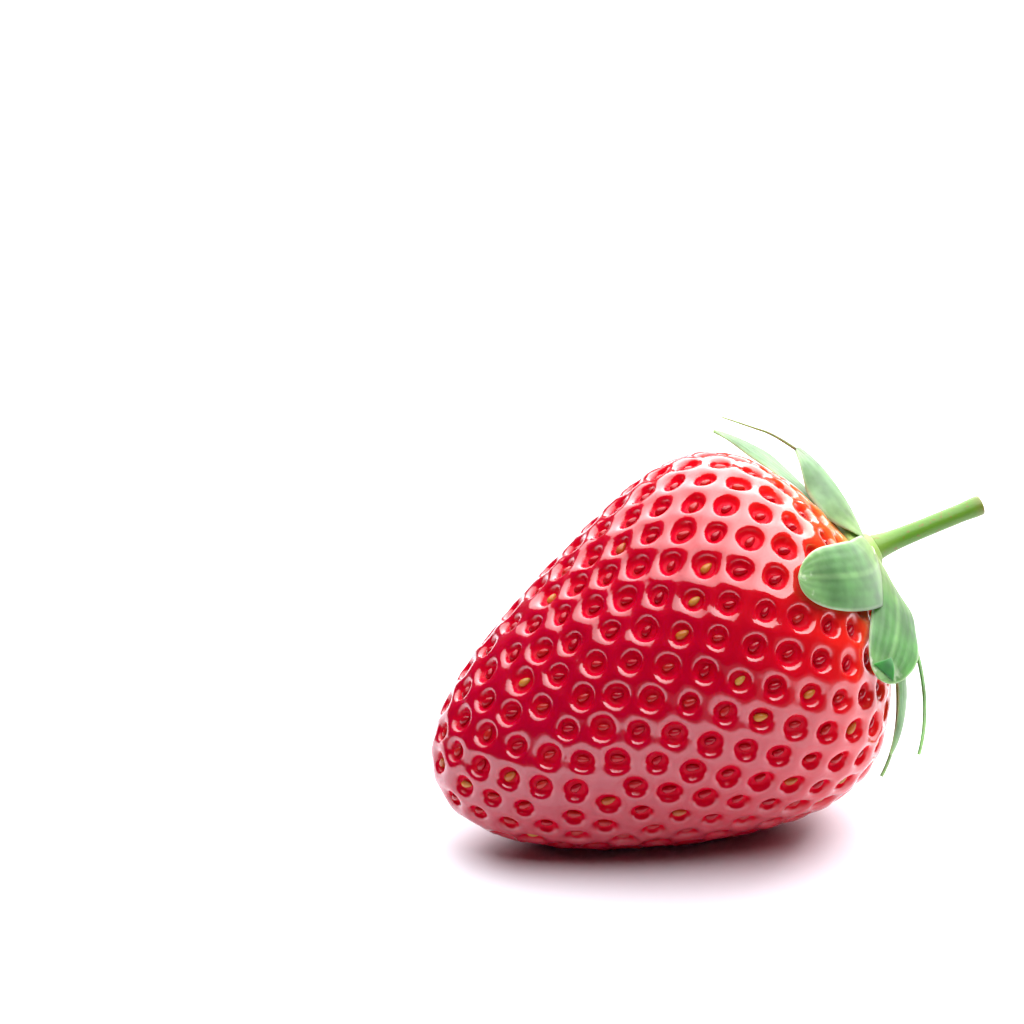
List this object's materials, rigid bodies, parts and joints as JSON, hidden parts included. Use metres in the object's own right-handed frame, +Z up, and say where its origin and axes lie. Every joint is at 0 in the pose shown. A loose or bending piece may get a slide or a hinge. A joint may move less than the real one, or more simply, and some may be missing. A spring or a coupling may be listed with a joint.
{
  "type": "strawberry",
  "caption": "Whole strawberry lying on its side: a tapered red berry with sunken seeds, a green calyx of sepals and bractlets, and a short cut stem.",
  "frame": {"origin": "middle of the bottom of the fruit's box, on the surface that it rests on", "axes": "+Z up; +X along the fruit, from the berry's tip to the cut stem; +Y to the side away from the picture's viewer"},
  "size_m": [0.0578, 0.0384, 0.0383],
  "materials": {
    "flesh": null,
    "sepal": null,
    "stem": null
  },
  "bodies": {
    "root": {"berry": "flesh", "calyx": "sepal", "stem": "stem"}
  },
  "joints": []
}
